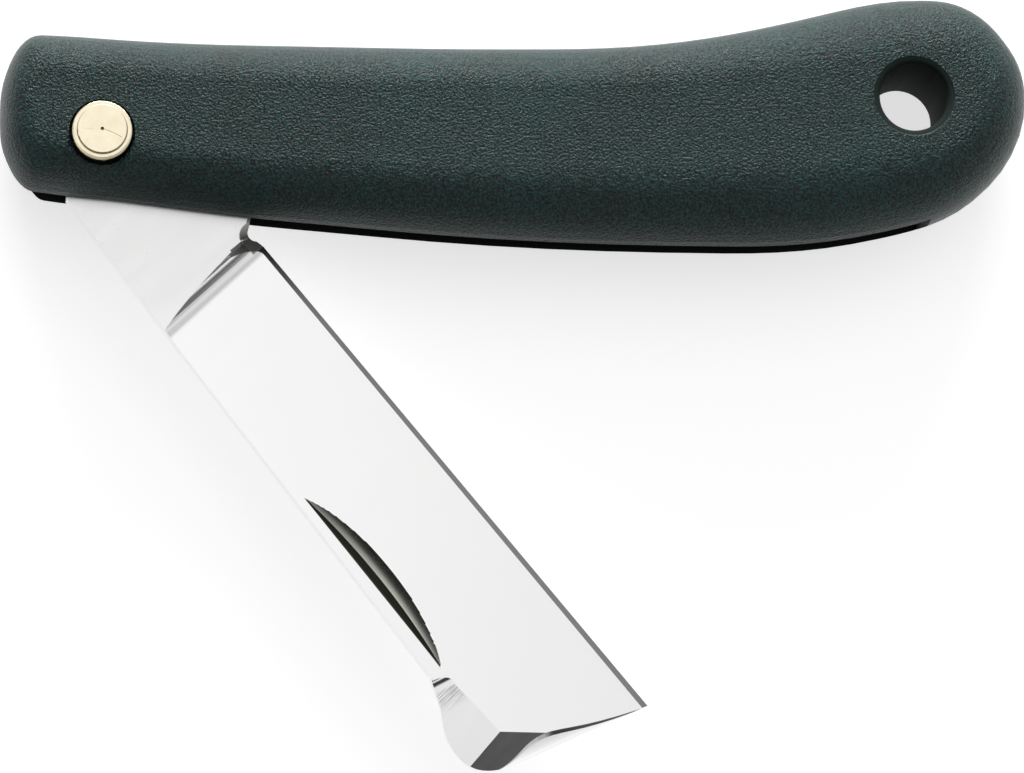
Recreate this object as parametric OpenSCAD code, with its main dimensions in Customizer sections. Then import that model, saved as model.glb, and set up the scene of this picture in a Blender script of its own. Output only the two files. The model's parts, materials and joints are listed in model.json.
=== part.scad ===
// Grafting knife that folds: a one-piece moulded handle with a closed back, a blade ground on one side
// with a nail nick and a bark lifter at the end of its spine, and a brass pivot pin in two brass collars.
// The knife lies on one flat side. The origin is on the pivot axis, level with that side.
// +X runs along the handle to its butt, +Y to its back, +Z up through its thickness.

/* [Handle] */
// Thickness of the handle over its two flat sides
handle_t = 13; // [12.5:0.1:13.5]
// How square the rounding of the handle's edges is: 2 is elliptical, more is squarer
edge_power = 2.3; // [2:0.1:3]
// Share of the handle's half width that stays flat
flat_share = 0.36; // [0.3:0.02:0.4]
// Width of the slot that the blade folds into
slot_w = 3.4; // [3.2:0.1:3.8]
// Diameter of the lanyard hole
lanyard_d = 6.9; // [6:0.1:7.4]
// Radius of the lanyard hole's rounded rims
lanyard_rim = 0.6; // [0.3:0.05:0.8]

/* [Blade] */
// Thickness of the blade at its tang and spine
blade_t = 2.4; // [2:0.1:2.6]
// Distance from the pivot to the blade's point
blade_reach = 78.3; // [76:0.1:80]
// Rise of the ground face across the blade, as a gradient
grind_rise = 0.14; // [0.12:0.005:0.15]
// Width of the bevel along the cutting edge
bevel_w = 0.6; // [0.3:0.05:0.8]
// Fall of the bark lifter's face to the spine, as a gradient
lifter_fall = 0.34; // [0.25:0.01:0.38]
// Width of the nail nick's straight wall at its middle
nick_wall = 1; // [0.6:0.05:1.1]

/* [Pivot] */
// Diameter of the pivot pin's shank
pin_d = 3; // [2.5:0.1:3.2]
// Diameter of the pivot pin's heads
head_d = 5; // [4.4:0.1:5.2]
// Outer diameter of the collars
collar_d = 6; // [5.8:0.1:6.2]
// Diameter of the thrust washers
washer_d = 9.2; // [8:0.1:10]

/* [Pose] */
// Direction of the blade, from the handle's +X, as the knife lies
blade_angle = -46; // [-180:1:-3]

/* [Hidden] */

$fn = 96;
eps = 0.01;
mid_z = handle_t / 2;

// Handle outline, clockwise from the nose: x, y and heading in degrees
outline_knots = [
    [-10.18, 3, 90], [-8.85, 8.75, 64], [-6.1, 10.98, -1], [4, 10.47, -2.7], [20, 10.17, -0.3],
    [40, 10.14, 0.8], [56, 10.84, 6.5], [70, 13.48, 13.5], [83, 15.84, 0], [87.05, 15.22, -22],
    [92.1, 10.62, -57], [93.52, 5.6, -90], [88.28, -4.55, -141], [78.5, -8.58, -167],
    [63, -10.22, 180], [27, -8.77, 175], [14.5, -7.68, 174.3], [3, -6.3, 173]
];
// The belly's corner at the nose: the half below the slot is rounded off further
near_nose_knots = [[-5.6, -5.4, 172], [-7.65, -4.87, 142], [-9.5, -2.1, 114]];
far_nose_knots = [[-5.6, -5.4, 171], [-6.6, -4.8, 128], [-8.9, -2.1, 120]];
outline_steps = 6;      // points on each stretch between two knots
curve_reach = 0.36;     // length of a curve's handles, as a share of its chord
loft_steps = 9;         // levels between the middle plane and a flat side
core_start = [-4.5, 3]; // ends of the core line that the sides round away from
core_end = [84, 4.2];
core_sag = 2.2;
flat_skim = 0.02;       // taken off each side of the crowned blank, to leave it flat

// Slot: it follows the closed blade, and is open along the belly and at the nose
nose_roof_y = 7.8;
slot_inner = [55.6, 3.4];   // roof of the slot behind the spring
slot_deep_end = [81.6, -1.6];
slot_lip_end = [83.4, -12];

// Back spring
spring_w = 3.2;
spring_front_x = -1.3;
spring_nose = 0.6;          // chamfer at its front end
spring_heel = [3, 6.2];     // the spring's lower face bears on the tang from its front end to here
spring_kick = [17, 5.15];    // the closed tang's kick stops here
spring_tail = [56, 4.6];
spring_tip_y = 8.2;         // upper face at the front end
spring_root_y = 7.6;        // upper face where the tail enters the moulding
spring_travel = 0.6;        // room above the spring, for its lift at the blade's corners
tail_len = 11;
tail_drop = 0.4;
tail_flare = 0.2;
tail_hole = [62.5, 6.1, 1.5];
fit_gap = 0.03;

// Blade, in its own plan: x to the point, -y to the spine, z from its middle plane
tang_r = 6.1;
tang_side = [15.6, 5.85];
choil = [17, 5.3, 0.87];        // rounded foot of the choil: centre and radius
choil_lean = 30.5;              // its bevel leans to the spine, as round as choil_mouth_r
choil_mouth_r = 1.15;
choil_flank = [16.16, 5.07];
choil_flank_draft = 10;
choil_land = 0.3;               // height of the square wall that the bevel leaves
heel = [19, 4.93];
point = [blade_reach, 0.2];
spine_root = [1.35, -6.05];     // a small shoulder clears the spring's front end when the blade is out
spine_knots = [[61.3, -13.66], [18, -8.55], [1.6, -6.36]];
lifter_knots = [
    [73.45, -13.3, -110], [69.35, -17.1, 180], [65.3, -15.8, 144], [63.3, -14.55, 160], [61.9, -14, 165]
];
edge_stock = 0.25;          // thickness under the ground face at the cutting edge
sharp_t = 0.05;
edge_turn = atan((point.y - heel.y) / (point.x - heel.x));
plunge_x = 19.2;            // the ground face runs to the point from here
plunge_r = 2.4;
ridge_start = [63, -12.4];  // ridge between the ground face and the lifter's face
ridge_end = [70.05, -12.55];
step_turn = -17;            // swing of the step at the lifter, from square across the blade
step_r = 0.8;
end_fall = 0.55;            // bevel round the lifter's end: its gradient and heading
end_heading = -33;
// Foot of the wall of the hollow between the lifter and the point: x, y and heading
foot_knots = [
    [78.6, 1, -113], [74.7, -7.15, -121], [73, -11.8, -91], [72.75, -14.5, -103], [71.6, -18, -108]
];
foot_z = 0.2 - blade_t / 2;
foot_lean = 12.5;
hollow_r = 8;
nick_middle = [50.55, -11.25];  // on the nick's straight side
nick_turn = -5.45;
nick_half = 10.8;
nick_slope = 45;
bore_clear = 0.05;

// Pivot stack, heights from the middle plane
washer_t = 0.4;
washer_seat = slot_w / 2 - 0.02;
collar_floor = 4.9;
head_floor = 5.35;
near_top = 7.8;             // the near head stands proud; the far one is flush with the side
near_step = 0.35;           // each step down, from a head to its collar and to the collar's outer ledge
far_top = mid_z;
far_step = 0.2;
collar_step_r = 2.83;
head_chamfer = 0.1;
dimple_r = 0.2;
counterbore_d = collar_d + 0.56;

// ---- Curves ----

// Point of a cubic curve between two knots, at t from 0 to 1
function knot_curve(a, b, t) =
    let (reach = curve_reach * norm([b.x - a.x, b.y - a.y]),
         p = [a.x, a.y], q = [b.x, b.y],
         c = p + reach * [cos(a.z), sin(a.z)],
         d = q - reach * [cos(b.z), sin(b.z)],
         s = 1 - t)
    s * s * s * p + 3 * s * s * t * c + 3 * s * t * t * d + t * t * t * q;

// Points of the curve through some knots, which closes on itself or ends at the last knot
function curve_points(knots, closed, steps) = concat(
    [
        for (i = [0 : len(knots) - (closed ? 1 : 2)], k = [0 : steps - 1])
            knot_curve(knots[i], knots[(i + 1) % len(knots)], k / steps)
    ],
    closed ? [] : [[knots[len(knots) - 1].x, knots[len(knots) - 1].y]]
);

function handle_outline(nose_knots) = curve_points(concat(outline_knots, nose_knots), true, outline_steps);

// Point of the core line nearest to an outline point, in x
function core_point(p) =
    let (x = min(max(p.x, core_start.x), core_end.x),
         t = (x - core_start.x) / (core_end.x - core_start.x))
    [x, core_start.y + (core_end.y - core_start.y) * t - core_sag * sin(180 * t)];

// One level of the handle: the outline drawn in towards the core, at an angle up the rounded edge
function handle_level(outline, angle) =
    let (rounding = pow(max(cos(angle), 0), 2 / edge_power),
         share = flat_share + (1 - flat_share) * rounding,
         rise = (mid_z + flat_skim) * pow(abs(sin(angle)), 2 / edge_power),
         z = mid_z + sign(angle) * rise)
    [for (p = outline) let (c = core_point(p), q = c + share * (p - c)) [q.x, q.y, z]];

// ---- Handle ----

module handle_blank() {
    near_outline = handle_outline(near_nose_knots);
    far_outline = handle_outline(far_nose_knots);
    n = len(near_outline);
    rows = 2 * loft_steps + 1;
    points = [
        for (r = [0 : rows - 1])
            each handle_level(r < loft_steps ? far_outline : near_outline, -90 + 180 * r / (rows - 1))
    ];
    walls = [
        for (r = [0 : rows - 2], i = [0 : n - 1])
            let (a = r * n + i, b = r * n + (i + 1) % n)
            each [[a, b, b + n], [a, b + n, a + n]]
    ];
    polyhedron(
        points = points,
        faces = concat([[for (i = [n - 1 : -1 : 0]) i]], walls, [[for (i = [0 : n - 1]) (rows - 1) * n + i]])
    );
}

// A plate of the given thickness about the middle plane
module mid_plate(thickness) {
    translate([0, 0, mid_z]) linear_extrude(thickness, center = true) children();
}

module blade_slot() {
    mid_plate(slot_w) polygon([
        [-14, nose_roof_y], [spring_front_x - 0.4, nose_roof_y], [spring_front_x - 0.4, 4],
        slot_inner, slot_deep_end, slot_lip_end, [-14, -12]
    ]);
    mid_plate(slot_w) polygon([
        [spring_front_x - 0.4, 3], [spring_front_x - 0.4, spring_tip_y + spring_travel],
        [spring_tail.x, spring_root_y + spring_travel], [spring_tail.x, 3]
    ]);
}

module spring_pocket() {
    mid_plate(spring_w + 2 * fit_gap) difference() {
        tail_profile(fit_gap);
        translate([tail_hole.x, tail_hole.y]) circle(tail_hole.z - fit_gap);
    }
}

module lanyard_bore(centre) {
    r = lanyard_d / 2;
    translate([centre.x, centre.y, -1]) cylinder(r = r, h = handle_t + 2);
    for (side = [0, 1])
        translate([centre.x, centre.y, side * handle_t]) mirror([0, 0, side]) lanyard_rim_cut(r);
}

// Ring cut that rounds a rim over, with the mouth facing down at z = 0
module lanyard_rim_cut(r) {
    rotate_extrude() difference() {
        translate([0, -1]) square([r + lanyard_rim, 1 + lanyard_rim]);
        translate([r + lanyard_rim, lanyard_rim]) circle(lanyard_rim);
    }
}

module handle_body() {
    color([0.17, 0.27, 0.25]) difference() {
        intersection() {
            handle_blank();
            translate([-20, -20, 0]) cube([130, 50, handle_t]);
        }
        blade_slot();
        spring_pocket();
        translate([0, 0, -1]) cylinder(d = pin_d + 2 * fit_gap, h = handle_t + 2);
        translate([0, 0, mid_z + collar_floor]) cylinder(d = counterbore_d, h = mid_z);
        translate([0, 0, -collar_floor]) cylinder(d = counterbore_d, h = mid_z);
        lanyard_bore([81.4, 4.6]);
    }
}

// ---- Back spring ----

// The spring's tail, which the handle is moulded round; grow widens it into its pocket
module tail_profile(grow = 0) {
    start_x = spring_tail.x - grow;
    end_x = spring_tail.x + tail_len + grow;
    low = spring_tail.y - grow;
    high = spring_root_y + grow;
    polygon([[start_x, low - tail_drop], [end_x, low - 1], [end_x, high + tail_flare], [start_x, high]]);
}

module back_spring() {
    color([0.55, 0.56, 0.57]) mid_plate(spring_w) difference() {
        union() {
            polygon([
                [spring_front_x, spring_heel.y], spring_heel, spring_kick, spring_tail + [eps, 0.3],
                [spring_tail.x + eps, spring_root_y], [spring_front_x + spring_nose, spring_tip_y],
                [spring_front_x, spring_tip_y - spring_nose]
            ]);
            tail_profile();
        }
        translate([tail_hole.x, tail_hole.y]) circle(tail_hole.z);
    }
}

// ---- Blade ----

// Points round part of a circle, given as [x, y, radius]
function arc(c, from, to, steps) = [
    for (k = [0 : steps]) let (angle = from + (to - from) * k / steps)
        [c.x + c.z * cos(angle), c.y + c.z * sin(angle)]
];

module blade_plan() {
    polygon(concat(
        [[-1, tang_side.y - 0.05], tang_side],
        [choil_flank], arc(choil, 195, 320, 8),
        [[heel.x - 0.5, heel.y - 0.05], point],
        curve_points(lifter_knots, false, 10),
        spine_knots, [spine_root, [-1, spine_root.y + 0.05]]
    ));
}

// Height of the ground face over a point of the plan
function ground_z(p) =
    let (across = (p.x - heel.x) * sin(edge_turn) - (p.y - heel.y) * cos(edge_turn))
    edge_stock - blade_t / 2 + grind_rise * across;

// What a grinding wheel takes off above a sloping plane, from a rounded start at x = 0.
// yaw points the face along the blade, tilt slopes it across, turn swings its start line.
module grind(start, yaw, tilt, turn, wheel_r) {
    translate(start) rotate([0, 0, yaw]) rotate([tilt, 0, 0]) rotate([0, 0, turn]) {
        translate([0, -22, 0]) cube([70, 44, 12]);
        translate([0, 22, wheel_r]) rotate([90, 0, 0]) cylinder(r = wheel_r, h = 44);
    }
}

// The main face, ground across the blade from the plunge to the point
module main_grind() {
    grind([plunge_x, heel.y, edge_stock - blade_t / 2], edge_turn, -atan(grind_rise), -edge_turn, plunge_r);
}

module edge_bevel() {
    angle = atan((edge_stock + grind_rise * bevel_w - sharp_t) / bevel_w);
    translate([heel.x, heel.y, sharp_t - blade_t / 2]) rotate([0, 0, edge_turn]) rotate([-angle, 0, 0])
        translate([-2, -4, 0]) cube([73, 8, 4]);
}

// The lifter's face falls away from the blade's ground face to a thin round end
module lifter_grind() {
    grind([ridge_start.x, ridge_start.y, ground_z(ridge_start)], 0, atan(lifter_fall), step_turn, step_r);
}

// Bevel round the lifter's end
module end_bevel() {
    translate([ridge_end.x, ridge_end.y, ground_z(ridge_end)]) rotate([0, 0, end_heading])
        rotate([0, atan(end_fall), 0]) translate([-6, -12, 0]) cube([20, 24, 6]);
}

// Hollow between the lifter and the point: a leaning wall, and a floor that runs out at the end line
module end_hollow() {
    end_line = [lifter_knots[0].x, lifter_knots[0].y];
    end_turn = 90 + atan((point.y - end_line.y) / (point.x - end_line.x)) - 180;
    intersection() {
        translate([end_line.x, 0, foot_z]) rotate([0, -foot_lean, 0]) translate([-end_line.x, 0, -3])
            linear_extrude(9) polygon(concat(curve_points(foot_knots, false, 6), [[90, -18], [90, 1]]));
        translate([end_line.x, end_line.y, hollow_r + sharp_t - blade_t / 2]) rotate([0, 0, end_turn])
            rotate([90, 0, 0]) cylinder(r = hollow_r, h = 50, center = true);
    }
}

// Nail nick: the flat side of a tipped wheel leaves a straight wall by the spine,
// and its rounded rim leaves a floor that rises to the ground face
module nail_nick() {
    slant = nick_wall / cos(nick_slope);
    wheel_r = (nick_half * nick_half / slant + slant) / 2;
    rim_r = 3.57;
    rim_flare = 29;
    translate([nick_middle.x, nick_middle.y, ground_z(nick_middle)]) rotate([0, 0, nick_turn])
        rotate([180 - nick_slope, 0, 0]) translate([0, wheel_r - slant, 0]) rotate_extrude($fn = 240)
            intersection() {
                translate([wheel_r - rim_r * cos(rim_flare), -rim_r * sin(rim_flare)]) circle(rim_r);
                translate([wheel_r - 9, -9]) square([12, 9]);
            }
}

// Bevel round the choil: a leaning round cut at its foot, and a drafted one on its flank
module choil_bevel() {
    foot_y = choil.y - choil.z + choil_mouth_r / cos(choil_lean);
    foot_z = choil_land - blade_t / 2;
    translate([choil.x, foot_y, foot_z]) rotate([choil_lean, 0, 0])
        cylinder(r = choil_mouth_r, h = 6 * blade_t, center = true);
    translate([choil_flank.x, choil_flank.y, foot_z]) rotate([0, 0, 30]) rotate([0, -choil_flank_draft, 0])
        translate([0, -0.6, -blade_t / 2]) cube([1, 4, 2 * blade_t]);
}

module blade() {
    color([0.93, 0.94, 0.94]) translate([0, 0, mid_z]) rotate([0, 0, blade_angle]) difference() {
        union() {
            cylinder(r = tang_r, h = blade_t, center = true);
            linear_extrude(blade_t, center = true) blade_plan();
        }
        main_grind();
        edge_bevel();
        lifter_grind();
        end_bevel();
        end_hollow();
        nail_nick();
        choil_bevel();
        cylinder(d = pin_d + 2 * bore_clear, h = 2 * blade_t, center = true);
    }
}

// ---- Pivot ----

// One half of the pin, from the middle plane up to the top of its head
module pin_half(top, dimple) {
    difference() {
        rotate_extrude() polygon([
            [0, 0], [pin_d / 2, 0], [pin_d / 2, head_floor], [head_d / 2, head_floor],
            [head_d / 2, top - head_chamfer], [head_d / 2 - head_chamfer, top], [0, top]
        ]);
        if (dimple) translate([0, 0, top + dimple_r / 2]) sphere(dimple_r);
    }
}

module pivot_pin() {
    color([0.85, 0.79, 0.62]) translate([0, 0, mid_z]) {
        pin_half(near_top, true);
        mirror([0, 0, 1]) pin_half(far_top, false);
    }
}

// Collar that a pin's head is spread into: it steps down from the head to a ledge with a rounded rim
module collar(top, step) {
    rim_r = 0.1;
    ledge = top - step;
    rotate_extrude() difference() {
        translate([pin_d / 2 + fit_gap, collar_floor + fit_gap])
            square([(collar_d - pin_d) / 2 - fit_gap, top - collar_floor - fit_gap]);
        translate([0, head_floor - fit_gap]) square([head_d / 2 + fit_gap, mid_z]);
        translate([collar_step_r, ledge]) square(step + eps);
        difference() {
            translate([collar_d / 2 - rim_r, ledge - rim_r]) square(2 * rim_r);
            translate([collar_d / 2 - rim_r, ledge - rim_r]) circle(rim_r);
        }
    }
}

module near_collar() {
    color([0.85, 0.79, 0.62]) translate([0, 0, mid_z]) collar(near_top - near_step, near_step);
}

module far_collar() {
    color([0.85, 0.79, 0.62]) translate([0, 0, mid_z]) mirror([0, 0, 1]) collar(far_top - far_step, far_step);
}

module washer() {
    difference() {
        cylinder(d = washer_d, h = washer_t);
        translate([0, 0, -1]) cylinder(d = pin_d + 2 * bore_clear, h = washer_t + 2);
    }
}

module near_washer() {
    color([0.75, 0.60, 0.35]) translate([0, 0, mid_z + washer_seat - washer_t]) washer();
}

module far_washer() {
    color([0.75, 0.60, 0.35]) translate([0, 0, mid_z - washer_seat]) washer();
}

handle_body();
blade();
back_spring();
pivot_pin();
near_collar();
far_collar();
near_washer();
far_washer();
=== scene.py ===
"""Looks of a folding grafting knife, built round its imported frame.

The frame gives every solid in metres: the knife lies on one flat side, +X runs along the
handle to its butt, +Y to the closed back and +Z up through the thickness. The pivot axis is
at x = y = 0. Each sub-assembly below copies its solids, smooths their shading and dresses
them in a procedural finish. The blade is also measured on its own axes: along it from the
pivot axis, across it, and up from the middle of its thickness.
"""

from __future__ import annotations

import json
import logging
import math
from dataclasses import dataclass, field
from enum import Enum
from typing import Any, Iterable, Sequence, TypeVar, Union

import bpy
from mathutils import Matrix, Vector

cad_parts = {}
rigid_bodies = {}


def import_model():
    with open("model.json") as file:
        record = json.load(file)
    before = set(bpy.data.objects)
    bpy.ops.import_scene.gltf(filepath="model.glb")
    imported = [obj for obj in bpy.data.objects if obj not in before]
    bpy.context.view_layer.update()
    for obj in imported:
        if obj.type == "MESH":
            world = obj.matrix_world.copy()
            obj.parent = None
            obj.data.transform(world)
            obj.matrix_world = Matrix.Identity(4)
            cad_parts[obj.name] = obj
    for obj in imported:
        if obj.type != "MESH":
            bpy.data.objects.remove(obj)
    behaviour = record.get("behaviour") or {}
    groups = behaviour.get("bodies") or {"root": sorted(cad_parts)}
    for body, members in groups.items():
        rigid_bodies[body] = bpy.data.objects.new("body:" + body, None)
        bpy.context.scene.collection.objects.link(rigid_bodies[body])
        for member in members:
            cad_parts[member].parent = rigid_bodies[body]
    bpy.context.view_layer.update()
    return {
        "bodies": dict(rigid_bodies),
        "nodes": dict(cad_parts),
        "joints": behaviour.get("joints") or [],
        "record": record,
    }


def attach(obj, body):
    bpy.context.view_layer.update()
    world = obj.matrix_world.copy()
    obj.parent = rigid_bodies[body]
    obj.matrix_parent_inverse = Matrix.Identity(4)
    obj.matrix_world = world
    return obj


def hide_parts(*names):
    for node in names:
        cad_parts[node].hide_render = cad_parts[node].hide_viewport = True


LOG = logging.getLogger("grafting_knife")
MM = 0.001
MID_Z = 6.5 * MM
BLADE_ANGLE = math.radians(-46.0)
FROM_BLADE = Matrix.Translation((0, 0, MID_Z)) @ Matrix.Rotation(BLADE_ANGLE, 4, "Z")
TO_BLADE = Matrix.Rotation(-BLADE_ANGLE, 4, "Z") @ Matrix.Translation((0, 0, -MID_Z))
Colour = tuple[float, float, float]
Span = tuple[float, float]
Value = Union["Wire", float, int, Sequence[float]]


def rgba(colour: Colour) -> tuple[float, float, float, float]:
    """A colour with full alpha."""
    return (*colour, 1.0)


# ---------------------------------------------------------------------------
# Shader wiring
# ---------------------------------------------------------------------------


class Wire:
    """An output socket that can be used in arithmetic; each operator adds a Math node."""

    def __init__(self, bench: "NodeBench", socket: bpy.types.NodeSocket | None) -> None:
        """Wraps one output socket of a node tree."""
        self.bench = bench
        self.socket = socket

    def _math(self, operation: str, *values: Value) -> "Wire":
        """One Math node on these values."""
        return self.bench.add("ShaderNodeMath", {"operation": operation}, list(values))

    def __add__(self, other: Value) -> "Wire":
        """self + other."""
        return self._math("ADD", self, other)

    def __radd__(self, other: Value) -> "Wire":
        """other + self."""
        return self._math("ADD", other, self)

    def __sub__(self, other: Value) -> "Wire":
        """self - other."""
        return self._math("SUBTRACT", self, other)

    def __rsub__(self, other: Value) -> "Wire":
        """other - self."""
        return self._math("SUBTRACT", other, self)

    def __mul__(self, other: Value) -> "Wire":
        """self * other."""
        return self._math("MULTIPLY", self, other)

    def __rmul__(self, other: Value) -> "Wire":
        """other * self."""
        return self._math("MULTIPLY", other, self)

    def __pow__(self, other: Value) -> "Wire":
        """self to the power other."""
        return self._math("POWER", self, other)

    def clamped(self) -> "Wire":
        """self held between 0 and 1."""
        return self.bench.add("ShaderNodeClamp", {}, {"Value": self})

    def absolute(self) -> "Wire":
        """The size of self without its sign."""
        return self._math("ABSOLUTE", self)

    def sine(self) -> "Wire":
        """The sine of self, in radians."""
        return self._math("SINE", self)

    def step(self, low: float, high: float) -> "Wire":
        """A smooth step from 0 at low to 1 at high.

        Args:
            low: value at which the step starts.
            high: value at which it ends.

        Returns:
            The step, between 0 and 1.
        """
        return self.bench.add(
            "ShaderNodeMapRange",
            {"interpolation_type": "SMOOTHSTEP"},
            {"Value": self, "From Min": low, "From Max": high},
        )

    def between(self, rise: Span, fall: Span) -> "Wire":
        """1 from the end of the rise to the start of the fall, and 0 beyond them."""
        return self.step(*rise) * (1.0 - self.step(*fall))


Measure = TypeVar("Measure", float, Wire)


class NodeBench:
    """Builds the node tree of one material or of the world."""

    def __init__(self, tree: bpy.types.NodeTree) -> None:
        """Starts from an empty tree."""
        self.tree = tree
        tree.nodes.clear()

    def add(
        self,
        kind: str,
        settings: dict[str, Any] | None = None,
        inputs: dict[str, Value] | list[Value] | None = None,
        output: str | int = 0,
    ) -> Wire:
        """Adds one node.

        Args:
            kind: the node's type, such as ShaderNodeTexNoise.
            settings: properties, set before the inputs.
            inputs: values or wires by socket name, or in socket order.
            output: name or index of the output socket to return.

        Returns:
            The chosen output as a wire.
        """
        node = self.tree.nodes.new(kind)
        for name, value in (settings or {}).items():
            setattr(node, name, value)
        pairs = enumerate(inputs) if isinstance(inputs, list) else (inputs or {}).items()
        for key, value in pairs:
            self._feed(node.inputs[key], value)
        return Wire(self, node.outputs[output] if len(node.outputs) else None)

    def _feed(self, socket: bpy.types.NodeSocket, value: Value) -> None:
        """Links a wire to a socket, or sets a plain value on it."""
        if isinstance(value, Wire):
            self.tree.links.new(value.socket, socket)
        else:
            socket.default_value = value

    def place(self) -> Wire:
        """The point on the piece, in metres."""
        return self.add("ShaderNodeTexCoord", output="Object")

    def split(self, vector: Wire) -> tuple[Wire, Wire, Wire]:
        """The x, y and z of a vector."""
        node = self.tree.nodes.new("ShaderNodeSeparateXYZ")
        self._feed(node.inputs[0], vector)
        return tuple(Wire(self, node.outputs[i]) for i in range(3))

    def join(self, x: Value, y: Value, z: Value) -> Wire:
        """A vector from three values."""
        return self.add("ShaderNodeCombineXYZ", {}, [x, y, z])

    def turned(self, vector: Wire, angle: float, centre: Sequence[float] = (0, 0, 0)) -> Wire:
        """A place measured along axes turned about Z.

        Args:
            vector: the place to turn.
            angle: direction of the new x axis, in radians.
            centre: new origin.

        Returns:
            The place in the turned axes.
        """
        shifted = self.add(
            "ShaderNodeVectorMath", {"operation": "SUBTRACT"}, [vector, tuple(centre)]
        )
        return self.add(
            "ShaderNodeMapping",
            {"vector_type": "POINT"},
            {"Vector": shifted, "Rotation": (0.0, 0.0, -angle)},
        )

    def noise(self, vector: Value, scale: float, detail: float = 3.0, rough: float = 0.5) -> Wire:
        """Fractal noise between 0 and 1, with features of about 1 / scale."""
        return self.add(
            "ShaderNodeTexNoise",
            {"noise_dimensions": "3D"},
            {"Vector": vector, "Scale": scale, "Detail": detail, "Roughness": rough},
        )

    def blend(self, factor: Value, low: Value, high: Value) -> Wire:
        """A colour between low and high."""
        node = self.tree.nodes.new("ShaderNodeMix")
        node.data_type = "RGBA"
        self._feed(node.inputs[0], factor)
        self._feed(node.inputs[6], low)
        self._feed(node.inputs[7], high)
        return Wire(self, node.outputs[2])

    def bump(self, height: Wire, distance: float) -> Wire:
        """A normal from a height; distance is the height, in metres, that 1 stands for."""
        return self.add("ShaderNodeBump", {}, {"Height": height, "Distance": distance})

    def rays(self, *kinds: str) -> Wire:
        """1 for rays of any of these kinds, named as on the Light Path node."""
        node = self.tree.nodes.new("ShaderNodeLightPath")
        return sum(Wire(self, node.outputs[kind]) for kind in kinds).clamped()

    def surface(self, **sockets: Value) -> None:
        """Ends the tree in a Principled shader with these sockets, underscores for spaces."""
        shader = self.add(
            "ShaderNodeBsdfPrincipled",
            {},
            {name.replace("_", " "): value for name, value in sockets.items()},
        )
        self.add("ShaderNodeOutputMaterial", {}, {"Surface": shader})


# ---------------------------------------------------------------------------
# Finishes
# ---------------------------------------------------------------------------


def new_material(name: str) -> tuple[bpy.types.Material, NodeBench]:
    """An empty node material and its bench."""
    material = bpy.data.materials.new(name)
    material.use_nodes = True
    return material, NodeBench(material.node_tree)


@dataclass(frozen=True)
class MouldedNylon:
    """Dark green nylon from a spark-eroded mould: a fine pebbled grain with a low sheen.

    The walls of the blade slot are smooth and painted almost black as shade, and the lanyard bore
    and its rounded rim are painted dark as shade. A span is where a mask turns on or off.
    """

    name: str = "green_nylon"
    shade: Colour = (0.0008, 0.0030, 0.0028)
    pale: Colour = (0.0080, 0.0620, 0.0560)
    grain_contrast: float = 4.2
    patch_contrast: float = 0.5
    tone_offset: float = -1.95
    roughness: float = 0.32
    rough_by_grain: float = 0.22
    rough_by_patch: float = 0.05
    reflectance: float = 0.38
    grain_size: float = 0.25 * MM
    grain_depth: float = 0.26 * MM
    patch_size: float = 9 * MM
    slot_shade: Colour = (0.0010, 0.0018, 0.0018)
    slot_roughness: float = 0.85
    slot_half_width: Span = (1.72 * MM, 1.77 * MM)
    slot_roof: Span = (8.25 * MM, 8.35 * MM)
    slot_end: Span = (83.4 * MM, 83.6 * MM)
    low_roof: Span = (0.7 * MM, 0.9 * MM)
    low_roof_start: Span = (77.5 * MM, 77.8 * MM)
    bore_middle: tuple[float, float] = (81.4 * MM, 4.6 * MM)
    bore_edge: Span = (3.95 * MM, 4.15 * MM)
    bore_shade: Colour = (0.0040, 0.0130, 0.0100)

    def build(self) -> bpy.types.Material:
        """Makes the material.

        Returns:
            The finished material.
        """
        material, bench = new_material(self.name)
        here = bench.place()
        x, y, z = bench.split(here)
        slot = self._slot(x, y, z)
        bore = self._bore(x, y)
        pebbles = bench.noise(here, 1.0 / self.grain_size, detail=1.5)
        pores = bench.noise(here, 2.3 / self.grain_size, detail=1.0)
        patches = bench.noise(here, 1.0 / self.patch_size)
        relief = pebbles * 0.7 + pores * 0.3
        paleness = relief * self.grain_contrast + patches * self.patch_contrast + self.tone_offset
        colour = bench.blend(paleness.clamped(), rgba(self.shade), rgba(self.pale))
        # Painted shade: the slot walls and the lanyard bore with its rim are coloured near black for the
        # shade inside them.
        colour = bench.blend(slot, colour, rgba(self.slot_shade))
        colour = bench.blend(bore, colour, rgba(self.bore_shade))
        inside = (slot + bore).clamped()
        rough = (relief - 0.5) * self.rough_by_grain + patches * self.rough_by_patch + self.roughness
        rough = (rough + inside * (self.slot_roughness - rough)).clamped()
        normal = bench.bump(relief * (1.0 - inside * 0.95), self.grain_depth)
        bench.surface(
            Base_Color=colour,
            Roughness=rough,
            Normal=normal,
            Specular_IOR_Level=self.reflectance,
        )
        return material

    def _slot(self, x: Wire, y: Wire, z: Wire) -> Wire:
        """1 in the blade slot, whose roof is lower near the butt."""
        slot = 1.0 - (z - MID_Z).absolute().step(*self.slot_half_width)
        slot = slot * (1.0 - y.step(*self.slot_roof)) * (1.0 - x.step(*self.slot_end))
        return slot * (1.0 - x.step(*self.low_roof_start) * y.step(*self.low_roof))

    def _bore(self, x: Wire, y: Wire) -> Wire:
        """1 in the lanyard bore."""
        from_middle = ((x - self.bore_middle[0]) ** 2.0 + (y - self.bore_middle[1]) ** 2.0) ** 0.5
        return 1.0 - from_middle.step(*self.bore_edge)


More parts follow.
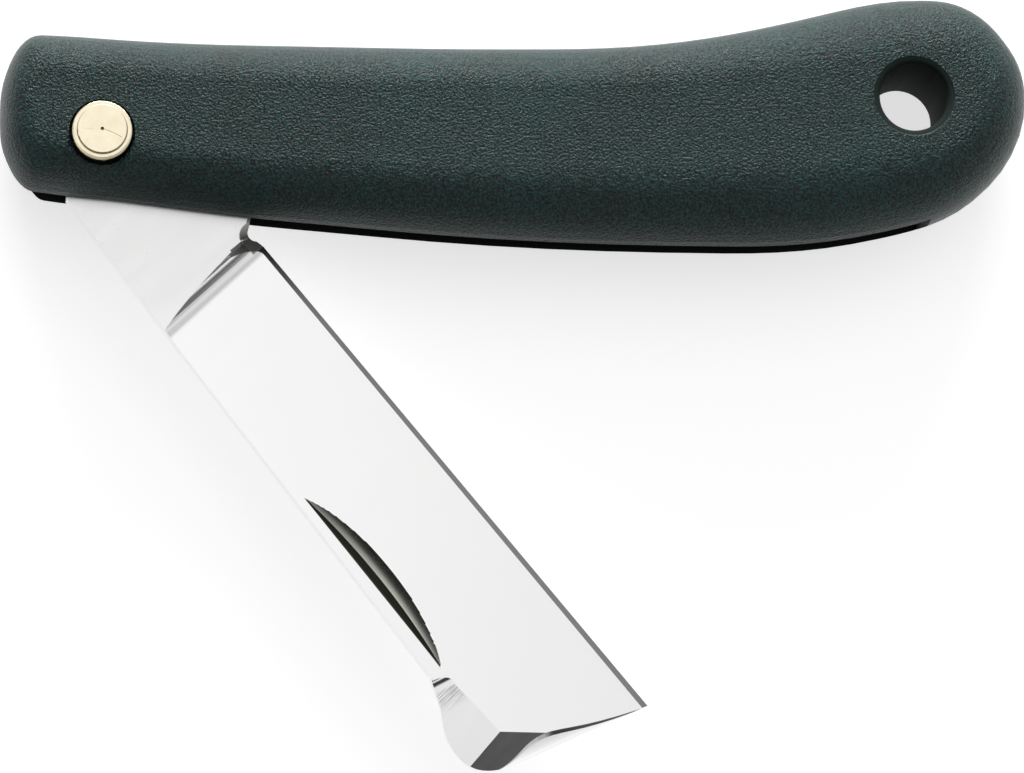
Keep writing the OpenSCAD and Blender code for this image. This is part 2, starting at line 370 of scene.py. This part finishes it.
@dataclass(frozen=True)
class GroundFace:
    """The main ground face of the blade, and the nail nick cut into it, on the blade's axes."""

    heel: tuple[float, float] = (19.0 * MM, 4.93 * MM)
    heel_height: float = -0.95 * MM
    edge_turn: float = math.radians(-4.56)
    rise: float = 0.14
    nick_middle: tuple[float, float] = (50.55 * MM, -11.25 * MM)
    nick_turn: float = math.radians(-5.45)
    nick_half: float = 10.8 * MM

    def height(self, along: Measure, across: Measure) -> Measure:
        """Height of the face over a place on the blade."""
        run = (along - self.heel[0]) * math.sin(self.edge_turn)
        run = run - (across - self.heel[1]) * math.cos(self.edge_turn)
        return run * self.rise + self.heel_height

    def from_nick(self, along: Measure, across: Measure) -> tuple[Measure, Measure]:
        """A place measured along and across the nick, from its middle."""
        run = along - self.nick_middle[0]
        side = across - self.nick_middle[1]
        cos, sin = math.cos(self.nick_turn), math.sin(self.nick_turn)
        return run * cos + side * sin, side * cos - run * sin


@dataclass(frozen=True)
class GroundSteel:
    """Stainless steel with a tumbled tang, fine grinding lines, and painted dark reflections in the
    nail nick, on the choil's wall and on the end wall of the hollow.

    Places are on the blade's own axes. A span is where a mask turns on or off.
    """

    name: str = "blade_steel"
    face: GroundFace = GroundFace()
    tone: Colour = (0.93, 0.93, 0.925)
    worn: Colour = (0.88, 0.88, 0.88)
    roughness: float = 0.20
    rough_by_line: float = 0.08
    line_scale: tuple[float, float] = (9000.0, 260.0)
    line_depth: float = 0.0010 * MM
    smear_scale: tuple[float, float] = (700.0, 90.0)
    tang_roughness: float = 0.46
    tang_top: Span = (1.17 * MM, 1.19 * MM)
    speck_tone: Colour = (0.35, 0.35, 0.34)
    speck_size: float = 0.35 * MM
    speck_share: Span = (0.70, 0.80)
    speck_strength: float = 0.35
    nick_wall_dark_reflection: Colour = (0.062, 0.062, 0.050)
    nick_floor_dark_reflection: Colour = (0.42, 0.42, 0.38)
    nick_wall: Span = (-0.07 * MM, -0.03 * MM)
    nick_top: Span = (0.015 * MM, 0.04 * MM)
    nick_bottom: Span = (1.12 * MM, 1.2 * MM)
    nick_near: Span = (-0.08 * MM, -0.01 * MM)
    nick_far: Span = (4.6 * MM, 4.7 * MM)
    choil_dark_reflection: Colour = (0.27, 0.27, 0.25)
    choil_start: Span = (15.3 * MM, 15.5 * MM)
    choil_end: Span = (18.3 * MM, 18.6 * MM)
    choil_side: Span = (3.4 * MM, 3.6 * MM)
    choil_top: Span = (1.10 * MM, 1.16 * MM)
    hatch_tone: Colour = (0.40, 0.40, 0.40)
    hatch_strength: float = 0.75
    hatch_share: Span = (0.42, 0.58)
    hatch_slant: float = 0.30
    hatch_place: float = 67.35 * MM
    hatch_start: Span = (-0.25 * MM, 0.05 * MM)
    hatch_end: Span = (0.5 * MM, 2.4 * MM)
    hatch_side: Span = (-12.5 * MM, -12.0 * MM)
    hatch_bottom: Span = (-0.8 * MM, -0.7 * MM)
    hatch_depth: Span = (0.02 * MM, 0.06 * MM)
    end_wall_dark_reflection: Colour = (0.03, 0.03, 0.03)
    end_start: Span = (70.0 * MM, 70.3 * MM)
    end_side: Span = (-9.4 * MM, -8.6 * MM)
    end_steepest: Span = (0.04, 0.08)
    end_flattest: Span = (0.48, 0.52)

    def build(self) -> bpy.types.Material:
        """Makes the material.

        Returns:
            The finished material.
        """
        material, bench = new_material(self.name)
        here = bench.turned(bench.place(), BLADE_ANGLE, (0.0, 0.0, MID_Z))
        along, across, up = bench.split(here)
        depth = self.face.height(along, across) - up
        lines = self._streaks(bench, along, across, self.line_scale, 4.0, 0.7)
        smear = self._streaks(bench, along, across, self.smear_scale, 3.0, 0.5)
        tang = up.step(*self.tang_top)
        specks = bench.noise(here, 1.0 / self.speck_size, detail=2.0).step(*self.speck_share) * tang
        nick, nick_wall = self._nick(along, across, depth)
        choil = self._choil(along, across, up)
        hatch = self._hatch(along, across, up, depth) * lines.step(*self.hatch_share)

        colour = bench.blend((lines * 0.6 + smear * 0.4).clamped(), rgba(self.worn), rgba(self.tone))
        colour = bench.blend(specks * self.speck_strength, colour, rgba(self.speck_tone))
        colour = bench.blend(hatch * self.hatch_strength, colour, rgba(self.hatch_tone))
        # Painted dark reflection: the choil's wall is coloured dark grey.
        colour = bench.blend(choil, colour, rgba(self.choil_dark_reflection))
        # Painted dark reflection: the leaning end wall of the hollow is coloured near black.
        colour = bench.blend(self._end_wall(bench, along, across), colour, rgba(self.end_wall_dark_reflection))
        # Painted dark reflection: the nick's steep wall is coloured near black and its floor grey.
        cut = bench.blend(nick_wall, rgba(self.nick_floor_dark_reflection), rgba(self.nick_wall_dark_reflection))
        colour = bench.blend(nick, colour, cut)
        rough = (lines + smear - 1.0) * self.rough_by_line + self.roughness
        rough = rough + tang * (self.tang_roughness - self.roughness) + nick * 0.06 + choil * 0.3
        normal = bench.bump(lines * (1.0 - nick) * (1.0 - tang * 0.7), self.line_depth)
        bench.surface(Base_Color=colour, Metallic=1.0, Roughness=rough.clamped(), Normal=normal)
        return material

    @staticmethod
    def _streaks(
        bench: NodeBench,
        along: Wire,
        across: Wire,
        scale: tuple[float, float],
        detail: float,
        rough: float,
    ) -> Wire:
        """Noise drawn out over the blade, as a grinding belt leaves it.

        Args:
            bench: the material's bench.
            along: place along the blade.
            across: place across the blade.
            scale: streaks to the metre, along and across the blade.
            detail: levels of finer noise.
            rough: strength of each finer level.

        Returns:
            The noise, between 0 and 1.
        """
        stretched = bench.join(along * scale[0], across * scale[1], 0.0)
        return bench.noise(stretched, 1.0, detail=detail, rough=rough)

    def _nick(self, along: Wire, across: Wire, depth: Wire) -> tuple[Wire, Wire]:
        """The nail nick.

        Args:
            along: place along the blade.
            across: place across the blade.
            depth: depth under the main ground face.

        Returns:
            A mask of the nick, and a mask that is 1 on its steep wall and 0 on its floor.
        """
        run, side = self.face.from_nick(along, across)
        half = self.face.nick_half
        nick = depth.between(self.nick_top, self.nick_bottom)
        nick = nick * side.between(self.nick_near, self.nick_far)
        nick = nick * (1.0 - run.absolute().step(half + 0.10 * MM, half + 0.15 * MM))
        return nick, (depth - side).step(*self.nick_wall)

    def _choil(self, along: Wire, across: Wire, up: Wire) -> Wire:
        """1 on the choil's wall."""
        choil = along.between(self.choil_start, self.choil_end)
        return choil * across.step(*self.choil_side) * (1.0 - up.step(*self.choil_top))

    def _hatch(self, along: Wire, across: Wire, up: Wire, depth: Wire) -> Wire:
        """1 where coarse grinding shows at the foot of the step up to the lifter."""
        run = along - across * self.hatch_slant - self.hatch_place
        hatch = run.between(self.hatch_start, self.hatch_end) * depth.step(*self.hatch_depth)
        return hatch * (1.0 - across.step(*self.hatch_side)) * up.step(*self.hatch_bottom)

    def _end_wall(self, bench: NodeBench, along: Wire, across: Wire) -> Wire:
        """1 on the leaning wall at the end of the hollow, known by how far it faces up."""
        _, _, facing = bench.split(bench.add("ShaderNodeNewGeometry", output="True Normal"))
        leaning = facing.between(self.end_steepest, self.end_flattest)
        return along.step(*self.end_start) * across.step(*self.end_side) * leaning


@dataclass(frozen=True)
class TurnedBrass:
    """Pale brass with faint rings from the lathe, dull stains, and painted shade on its sides below the rim.

    Painted shade also fills the dimple at the axis, and a scratched piece has one long scratch and a
    faint one. Only the near side carries the painted shade and the scratches. A span is where a
    mask turns on or off, apart from a scratch's, which holds its two ends.
    """

    name: str = "pin_brass"
    tone: Colour = (0.84, 0.77, 0.60)
    dull: Colour = (0.70, 0.61, 0.43)
    shade_and_scratches: Colour = (0.05, 0.04, 0.02)
    stain_weight: float = 1.3
    drift_weight: float = 0.7
    dull_offset: float = -0.62
    roughness: float = 0.30
    rough_by_ring: float = 0.04
    rough_by_drift: float = 0.06
    ring_pitch: float = 0.19 * MM
    ring_depth: float = 0.0035 * MM
    drift_scale: float = 9000.0
    stain_size: float = 1.3 * MM
    shade_height: Span = (13.05 * MM, 13.4 * MM)
    shade_strength: float = 0.9
    dimple: Span = (0.15 * MM, 0.20 * MM)
    scratched: bool = True
    scratch_turn: float = math.radians(-24.8)
    scratch: Span = (0.25 * MM, 2.25 * MM)
    scratch_strength: float = 0.6
    faint_turn: float = math.radians(178.0)
    faint_scratch: Span = (0.9 * MM, 2.1 * MM)
    faint_strength: float = 0.18
    scratch_bow: float = 70.0
    scratch_half_width: Span = (0.02 * MM, 0.05 * MM)

    def build(self) -> bpy.types.Material:
        """Makes the material.

        Returns:
            The finished material.
        """
        material, bench = new_material(self.name)
        here = bench.place()
        x, y, z = bench.split(here)
        radius = (x * x + y * y) ** 0.5
        rings = (radius * (2 * math.pi / self.ring_pitch)).sine() * 0.5 + 0.5
        drift = bench.noise(bench.join(radius * self.drift_scale, 0.0, 0.0), 1.0, detail=2.0)
        stain = bench.noise(here, 1.0 / self.stain_size)
        near = z.step(MID_Z, MID_Z + 0.1 * MM)
        below_rim = 1.0 - z.step(*self.shade_height)
        # Painted shade: the sides below the rim and the dimple at the axis are darkened near black; the
        # scratches added below are real marks.
        shade_and_scratches = (below_rim + 1.0 - radius.step(*self.dimple)).clamped() * self.shade_strength
        if self.scratched:
            scratch = self._scratch(bench, here, self.scratch_turn, self.scratch)
            faint = self._scratch(bench, here, self.faint_turn, self.faint_scratch)
            shade_and_scratches = shade_and_scratches + scratch * self.scratch_strength + faint * self.faint_strength
        dullness = stain * self.stain_weight + drift * self.drift_weight + self.dull_offset
        colour = bench.blend(dullness.clamped(), rgba(self.tone), rgba(self.dull))
        # The painted shade and the scratches go on the near side only.
        colour = bench.blend(shade_and_scratches.clamped() * near, colour, rgba(self.shade_and_scratches))
        rough = (rings - 0.5) * self.rough_by_ring + (drift - 0.5) * self.rough_by_drift + self.roughness
        normal = bench.bump(rings * 0.5 + drift * 0.5, self.ring_depth)
        bench.surface(Base_Color=colour, Metallic=1.0, Roughness=rough.clamped(), Normal=normal)
        return material

    def _scratch(self, bench: NodeBench, here: Wire, turn: float, span: Span) -> Wire:
        """A fine, slightly bowed scratch that runs out from the pivot axis.

        Args:
            bench: the material's bench.
            here: the place on the piece.
            turn: direction of the scratch, in radians.
            span: distances from the axis at which it starts and ends, in metres.

        Returns:
            A mask that is 1 on the scratch.
        """
        start, end = span
        out, aside, _ = bench.split(bench.turned(here, turn))
        bowed = aside - out * (end - out) * self.scratch_bow
        mask = 1.0 - bowed.absolute().step(*self.scratch_half_width)
        return mask * out.between((start - 0.1 * MM, start), (end - 0.3 * MM, end))


@dataclass(frozen=True)
class SheetMetal:
    """Plain rolled or blanked sheet for the pieces inside the slot."""

    name: str
    tone: Colour
    roughness: float = 0.4
    rough_by_roll: float = 0.15
    dull_share: float = 0.6
    roll_scale: tuple[float, float] = (300.0, 4000.0)
    roll_depth: float = 0.003 * MM
    stain_size: float = 4 * MM

    def build(self) -> bpy.types.Material:
        """Makes the material.

        Returns:
            The finished material.
        """
        material, bench = new_material(self.name)
        here = bench.place()
        x, y, z = bench.split(here)
        along, across = self.roll_scale
        roll = bench.noise(bench.join(x * along, y * across, z * across), 1.0)
        stain = bench.noise(here, 1.0 / self.stain_size, detail=4.0)
        dull: Colour = tuple(self.dull_share * c for c in self.tone)
        colour = bench.blend((stain * 1.4 - 0.4).clamped(), rgba(self.tone), rgba(dull))
        rough = ((roll + stain - 1.0) * self.rough_by_roll + self.roughness).clamped()
        normal = bench.bump(roll, self.roll_depth)
        bench.surface(Base_Color=colour, Metallic=1.0, Roughness=rough, Normal=normal)
        return material


# ---------------------------------------------------------------------------
# Mesh work
# ---------------------------------------------------------------------------

WELD_GAP = 0.0008 * MM
SHORTEST_EDGE = 0.0005 * MM
SAME_PLANE = math.radians(0.05)


class Body(Enum):
    """The two rigid bodies of the frame."""

    HANDLE = "handle"
    BLADE = "blade"


def select_only(piece: bpy.types.Object) -> None:
    """Makes one object the selected and active one."""
    for other in bpy.context.view_layer.objects:
        other.select_set(other is piece)
    bpy.context.view_layer.objects.active = piece


def clear_selection(piece: bpy.types.Object, kind: str) -> None:
    """Makes a piece active, in object mode, with none of its parts selected.

    Args:
        piece: the piece.
        kind: what is to be selected next: VERT, EDGE or FACE.
    """
    select_only(piece)
    bpy.ops.object.mode_set(mode="EDIT")
    bpy.ops.mesh.select_mode(type=kind)
    bpy.ops.mesh.select_all(action="DESELECT")
    bpy.ops.object.mode_set(mode="OBJECT")


def working_copy(frame: dict[str, Any], node: str, name: str) -> bpy.types.Object:
    """Copies a solid of the frame as a welded mesh, with its flat faces in one piece.

    Args:
        node: name of the solid.
        name: name of the new piece.

    Returns:
        The copy, at the origin.
    """
    source = frame["nodes"][node]
    piece = bpy.data.objects.new(name, source.data.copy())
    piece.data.name = name
    bpy.context.scene.collection.objects.link(piece)
    clear_selection(piece, "VERT")
    bpy.ops.object.mode_set(mode="EDIT")
    bpy.ops.mesh.select_all(action="SELECT")
    bpy.ops.mesh.remove_doubles(threshold=WELD_GAP)
    bpy.ops.mesh.dissolve_degenerate(threshold=SHORTEST_EDGE)
    bpy.ops.mesh.select_all(action="SELECT")
    bpy.ops.mesh.dissolve_limited(angle_limit=SAME_PLANE)
    bpy.ops.object.mode_set(mode="OBJECT")
    piece.data.materials.clear()
    return piece


def smooth(piece: bpy.types.Object, degrees: float, flat_mm2: float) -> None:
    """Smooths a piece's shading, and keeps its large faces truly flat.

    Args:
        piece: the piece.
        degrees: edges sharper than this angle stay crisp.
        flat_mm2: faces larger than this, in square millimetres, lead their neighbours' shading.
    """
    select_only(piece)
    bpy.ops.object.shade_smooth_by_angle(angle=math.radians(degrees))
    for strength, is_large in (("WEAK", False), ("STRONG", True)):
        clear_selection(piece, "FACE")
        for face in piece.data.polygons:
            face.select = (face.area > flat_mm2 * MM * MM) == is_large
        bpy.ops.object.mode_set(mode="EDIT")
        bpy.ops.mesh.mod_weighted_strength(set=True, face_strength=strength)
        bpy.ops.object.mode_set(mode="OBJECT")
    weighted = piece.modifiers.new("even_normals", "WEIGHTED_NORMAL")
    weighted.mode = "CORNER_ANGLE"
    weighted.keep_sharp = True
    weighted.use_face_influence = True


def place_piece(
    piece: bpy.types.Object,
    material: bpy.types.Material,
    body: Body,
    node: str,
) -> None:
    """Dresses a finished piece and hands it to the frame in place of its solid.

    Args:
        piece: the finished piece.
        material: its finish.
        body: body that it moves with.
        node: the solid that it stands for.
    """
    piece.data.materials.append(material)
    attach(piece, body.value)
    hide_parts(node)
    LOG.info("%s: %d faces, rides on %s", piece.name, len(piece.data.polygons), body.value)


# ---------------------------------------------------------------------------
# Sub-assemblies
# ---------------------------------------------------------------------------


@dataclass
class Handle:
    """The one-piece handle moulding."""

    frame: dict[str, Any]
    finish: MouldedNylon = field(default_factory=MouldedNylon)
    smooth_angle: float = 24.0
    flat_mm2: float = 20.0

    def build(self) -> None:
        """Makes the moulding with a smooth skin and crisp slot lips."""
        piece = working_copy(self.frame, "handle_body", "handle_moulding")
        smooth(piece, self.smooth_angle, self.flat_mm2)
        place_piece(piece, self.finish.build(), Body.HANDLE, "handle_body")


@dataclass
class Blade:
    """The blade, with its ground faces, on its own axes."""

    frame: dict[str, Any]
    finish: GroundSteel = field(default_factory=GroundSteel)
    smooth_angle: float = 17.0
    flat_mm2: float = 7.0
    nick_depth: float = 1.0 * MM
    nick_slope: float = math.radians(45.0)
    nick_skim: float = 0.006 * MM
    rim_radius: float = 3.57 * MM
    rim_flare: float = math.radians(29.0)
    rim_points: int = 144
    wheel_arc: float = math.radians(40.0)
    wheel_steps: int = 100
    ridge_span: Span = (62.5 * MM, 70.4 * MM)
    ridge_side: float = -12.5 * MM
    ridge_reach: float = 0.5 * MM
    ridge_degrees: tuple[float, float] = (12.0, 30.0)
    ridge_shortest: float = 0.2 * MM
    ridge_width: float = 0.30 * MM
    ridge_segments: int = 4
    hollow_start: float = 70.5 * MM

    def build(self) -> None:
        """Makes the blade with its curved cuts smooth and its ground edges crisp."""
        piece = working_copy(self.frame, "blade", "ground_blade")
        self._recut_nick(piece)
        self._soften_ridge(piece)
        smooth(piece, self.smooth_angle, self.flat_mm2)
        self._keep_hollow_facets(piece)
        place_piece(piece, self.finish.build(), Body.BLADE, "blade")

    def _recut_nick(self, piece: bpy.types.Object) -> None:
        """Takes a hair more off the nail nick with a finely rounded wheel.

        Args:
            piece: the blade, whose nick is smoothed in place.
        """
        wheel = self._nick_wheel()
        cut = piece.modifiers.new("nick_cut", "BOOLEAN")
        cut.operation = "DIFFERENCE"
        cut.solver = "EXACT"
        cut.object = wheel
        select_only(piece)
        bpy.ops.object.modifier_apply(modifier=cut.name)
        bpy.data.objects.remove(wheel, do_unlink=True)

    def _nick_wheel(self) -> bpy.types.Object:
        """Spins the part of a cutting wheel that reaches the nick.

        Returns:
            The wheel's part, seated where it cuts.
        """
        face = self.finish.face
        slant = self.nick_depth / math.cos(self.nick_slope)
        wheel_radius = (face.nick_half ** 2 / slant + slant) / 2
        rim_x = wheel_radius - self.rim_radius * math.cos(self.rim_flare)
        rim_z = -self.rim_radius * math.sin(self.rim_flare)
        bpy.ops.object.select_all(action="DESELECT")
        bpy.ops.mesh.primitive_circle_add(
            vertices=self.rim_points,
            radius=self.rim_radius + self.nick_skim,
            fill_type="NGON",
            location=(rim_x, 0.0, rim_z),
            rotation=(math.radians(90.0), 0.0, 0.0),
        )
        wheel = bpy.context.active_object
        wheel.name = "nick_wheel"
        bpy.ops.object.transform_apply(location=True, rotation=True, scale=True)
        bpy.ops.object.mode_set(mode="EDIT")
        for point, normal in (((0, 0, self.nick_skim), (0, 0, 1)), ((rim_x, 0, 0), (-1, 0, 0))):
            bpy.ops.mesh.select_all(action="SELECT")
            bpy.ops.mesh.bisect(plane_co=point, plane_no=normal, use_fill=False, clear_outer=True)
        bpy.ops.mesh.select_all(action="SELECT")
        bpy.ops.transform.rotate(value=-self.wheel_arc / 2, orient_axis="Z", center_override=(0, 0, 0))
        bpy.ops.mesh.spin(steps=self.wheel_steps, angle=self.wheel_arc, center=(0, 0, 0), axis=(0, 0, 1))
        bpy.ops.mesh.select_all(action="SELECT")
        bpy.ops.mesh.normals_make_consistent(inside=False)
        bpy.ops.object.mode_set(mode="OBJECT")
        wheel.matrix_world = (
            FROM_BLADE
            @ Matrix.Translation((*face.nick_middle, face.height(*face.nick_middle)))
            @ Matrix.Rotation(face.nick_turn, 4, "Z")
            @ Matrix.Rotation(math.pi - self.nick_slope, 4, "X")
            @ Matrix.Translation((0, wheel_radius - slant, 0))
            @ Matrix.Rotation(math.radians(-90.0), 4, "Z")
        )
        return wheel

    def _soften_ridge(self, piece: bpy.types.Object) -> None:
        """Rounds the ridge between the ground face and the lifter's face.

        Args:
            piece: the blade, whose ridge is rounded in place.
        """
        clear_selection(piece, "EDGE")
        normals: dict[tuple[int, int], list[Vector]] = {}
        for face in piece.data.polygons:
            for key in face.edge_keys:
                normals.setdefault(key, []).append(face.normal)
        for edge in piece.data.edges:
            start, end = self._ends(piece, edge)
            pair = normals[tuple(sorted(edge.vertices))]
            turn = math.degrees(pair[0].angle(pair[1])) if len(pair) == 2 else 0.0
            edge.select = (
                self._on_ridge(start)
                and self._on_ridge(end)
                and self.ridge_degrees[0] < turn < self.ridge_degrees[1]
                and (start - end).length > self.ridge_shortest
            )
        LOG.info("ridge: %d edges rounded", sum(edge.select for edge in piece.data.edges))
        bpy.ops.object.mode_set(mode="EDIT")
        bpy.ops.mesh.bevel(
            offset=self.ridge_width,
            segments=self.ridge_segments,
            affect="EDGES",
            clamp_overlap=True,
        )
        bpy.ops.object.mode_set(mode="OBJECT")

    def _keep_hollow_facets(self, piece: bpy.types.Object) -> None:
        """Keeps the narrow facets of the end hollow from being smoothed into each other.

        Args:
            piece: the blade, whose edges are marked.
        """
        clear_selection(piece, "EDGE")
        for edge in piece.data.edges:
            edge.select = all(end.x > self.hollow_start for end in self._ends(piece, edge))
        bpy.ops.object.mode_set(mode="EDIT")
        bpy.ops.mesh.mark_sharp()
        bpy.ops.object.mode_set(mode="OBJECT")

    @staticmethod
    def _ends(piece: bpy.types.Object, edge: bpy.types.MeshEdge) -> tuple[Vector, Vector]:
        """An edge's two ends, on the blade's axes."""
        first, second = edge.vertices
        points = piece.data.vertices
        return TO_BLADE @ points[first].co, TO_BLADE @ points[second].co

    def _on_ridge(self, point: Vector) -> bool:
        """True for a point on the near side that lies along the ridge."""
        beside = abs(point.y - self.ridge_side)
        return self.ridge_span[0] < point.x < self.ridge_span[1] and beside < self.ridge_reach and point.z > 0


@dataclass
class Pivot:
    """The pin with its collars and washers, and the spring that bears on the tang."""

    frame: dict[str, Any]
    smooth_angle: float = 30.0
    flat_mm2: float = 1.0

    def build(self) -> None:
        """Makes each turned or blanked piece of the pivot."""
        pin_finish = TurnedBrass().build()
        collar_finish = TurnedBrass(name="collar_brass", scratched=False).build()
        washer_finish = SheetMetal("washer_bronze", (0.66, 0.48, 0.26)).build()
        spring_finish = SheetMetal("spring_steel", (0.45, 0.46, 0.47), 0.35).build()
        self._dress("pivot_pin", "turned_pin", pin_finish)
        self._dress("near_collar", "turned_near_collar", collar_finish)
        self._dress("far_collar", "turned_far_collar", collar_finish)
        self._dress("near_washer", "flat_near_washer", washer_finish)
        self._dress("far_washer", "flat_far_washer", washer_finish)
        self._dress("back_spring", "leaf_spring", spring_finish)

    def _dress(self, node: str, name: str, finish: bpy.types.Material) -> None:
        """Copies one solid, smooths it and dresses it."""
        piece = working_copy(self.frame, node, name)
        smooth(piece, self.smooth_angle, self.flat_mm2)
        place_piece(piece, finish, Body.HANDLE, node)


# ---------------------------------------------------------------------------
# Studio
# ---------------------------------------------------------------------------


@dataclass
class Studio:
    """A pale table, a soft lamp behind the knife, a lit room and a long-lens camera.

    The camera looks down on the knife and leans a little towards its lower left. The room is
    laid out by the direction that a ray takes, as a unit vector in the frame, and a span is
    where something in it fades in or out.
    """

    centre: Vector = field(default_factory=lambda: Vector((41.16, -24.19, 6.5)) * MM)
    distance: float = 648 * MM
    focal_length: float = 227.8
    sensor: float = 36.0
    tilt: float = math.radians(11.82)
    lean: Vector = field(default_factory=lambda: Vector((-0.412, -0.911, 0.0)))
    away: tuple[float, float] = (0.41, 0.91)
    away_edge: Span = (-0.7, 0.7)
    card_edge: Span = (0.755, 0.875)
    card_level: float = 1.02
    card_tilt: float = 1.1
    card_balance: float = 0.11
    heart_edge: Span = (0.88, 0.97)
    heart_level: float = 1.20
    room_dark: float = 0.03
    room_gain: float = 0.16
    patch_level: float = 0.65
    patch_along: Span = (0.25, 0.5)
    patch_back: Span = (0.1, 0.35)
    patch_height: Span = (0.35, 0.6)
    horizon_edge: Span = (0.03, 0.13)
    horizon_level: float = 0.85
    sky_edge: Span = (-0.1, 0.7)
    sky_dark: float = 0.04
    sky_gain: float = 1.15
    table_size: float = 3.0
    table_middle: tuple[float, float, float] = (40 * MM, -20 * MM, -0.1 * MM)
    table_tone: float = 0.55
    table_glow: float = 0.70
    lamp_place: Vector = field(default_factory=lambda: Vector((45, 480, 140)) * MM)
    lamp_target: Vector = field(default_factory=lambda: Vector((45, 0, 0)) * MM)
    lamp_size: tuple[float, float] = (0.40, 0.12)
    lamp_watts: float = 3.4

    def build(self) -> None:
        """Makes the camera, the world, the table and the lamp."""
        self._camera()
        self._world()
        self._table()
        self._back_lamp()

    def _camera(self) -> None:
        """A long-lens camera that leans a little towards the lower left."""
        data = bpy.data.cameras.new("camera")
        data.lens = self.focal_length
        data.sensor_width = self.sensor
        data.clip_end = 10.0
        axis = Vector((0, 0, 1)).cross(self.lean.normalized())
        turn = Matrix.Rotation(self.tilt, 4, axis)
        camera = bpy.data.objects.new("camera", data)
        back = turn @ Vector((0, 0, 1))
        camera.matrix_world = Matrix.Translation(self.centre + back * self.distance) @ turn
        bpy.context.scene.collection.objects.link(camera)
        bpy.context.scene.camera = camera

    def _world(self) -> None:
        """White for the camera, a soft sky for light, and a lit room for reflections."""
        world = bpy.data.worlds.new("studio_world")
        world.use_nodes = True
        bpy.context.scene.world = world
        bench = NodeBench(world.node_tree)
        x, y, height = bench.split(bench.add("ShaderNodeTexCoord", output="Generated"))
        away = (x * self.away[0] + y * self.away[1]).step(*self.away_edge)
        mirrored = self._room(x, y, height, away)
        soft = height.step(*self.sky_edge) * (away * self.sky_gain + self.sky_dark)
        is_glossy = bench.rays("Is Glossy Ray")
        is_seen = bench.rays("Is Camera Ray", "Is Transmission Ray")
        level = is_glossy * mirrored + (1.0 - is_glossy) * soft
        strength = level + is_seen * (1.0 - level)
        sky = bench.add("ShaderNodeBackground", {}, {"Color": rgba((1, 1, 1)), "Strength": strength})
        bench.add("ShaderNodeOutputWorld", {}, {"Surface": sky})

    def _room(self, x: Wire, y: Wire, height: Wire, away: Wire) -> Wire:
        """The room that shows in a reflection.

        A wide white card hangs overhead, brighter at its heart and towards one side. The walls
        are dim, and darkest on the camera's side, with one pale patch. The horizon is pale.

        Args:
            x: the reflected ray's way along the handle.
            y: its way towards the closed back.
            height: its way up.
            away: 0 towards the camera's side, 1 away from it.

        Returns:
            The level of light.
        """
        patch = x.step(*self.patch_along) * (1.0 - y.step(*self.patch_back)) * height.step(*self.patch_height)
        walls = away * self.room_gain + self.room_dark + patch * self.patch_level
        card = height.step(*self.card_edge)
        tilt = ((y - x - self.card_balance) * self.card_tilt + 0.5).clamped() - 0.5
        room = walls + card * (self.card_level - walls + tilt)
        room = room + height.step(*self.heart_edge) * (self.heart_level - self.card_level)
        horizon = 1.0 - height.step(*self.horizon_edge)
        return room + horizon * (self.horizon_level - room)

    def _table(self) -> None:
        """A wide pale table top that keeps the knife's shadow."""
        bpy.ops.object.select_all(action="DESELECT")
        bpy.ops.mesh.primitive_plane_add(size=self.table_size, location=self.table_middle)
        table = bpy.context.active_object
        table.name = "table_top"
        material, bench = new_material("pale_table")
        is_seen = bench.rays("Is Camera Ray", "Is Glossy Ray", "Is Transmission Ray")
        tone = (self.table_tone,) * 3
        plain = bench.add("ShaderNodeBsdfDiffuse", {}, {"Color": rgba(tone)})
        glow = bench.add(
            "ShaderNodeEmission",
            {},
            {"Color": rgba((1, 1, 1)), "Strength": is_seen * self.table_glow},
        )
        both = bench.add("ShaderNodeAddShader", {}, [plain, glow])
        bench.add("ShaderNodeOutputMaterial", {}, {"Surface": both})
        table.data.materials.append(material)

    def _back_lamp(self) -> None:
        """A wide, low soft lamp behind the knife, which lights its closed back."""
        data = bpy.data.lights.new("back_light", "AREA")
        data.shape = "RECTANGLE"
        data.size, data.size_y = self.lamp_size
        data.energy = self.lamp_watts
        lamp = bpy.data.objects.new("back_light", data)
        turn = (self.lamp_target - self.lamp_place).to_track_quat("-Z", "Y")
        lamp.matrix_world = Matrix.Translation(self.lamp_place) @ turn.to_matrix().to_4x4()
        bpy.context.scene.collection.objects.link(lamp)


def main() -> None:
    """Builds the whole scene."""
    logging.basicConfig(level=logging.INFO, format="%(message)s")
    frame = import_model()
    bpy.context.scene.view_settings.view_transform = "Standard"
    Studio().build()
    Handle(frame).build()
    Blade(frame).build()
    Pivot(frame).build()


if __name__ == "__main__":
    main()
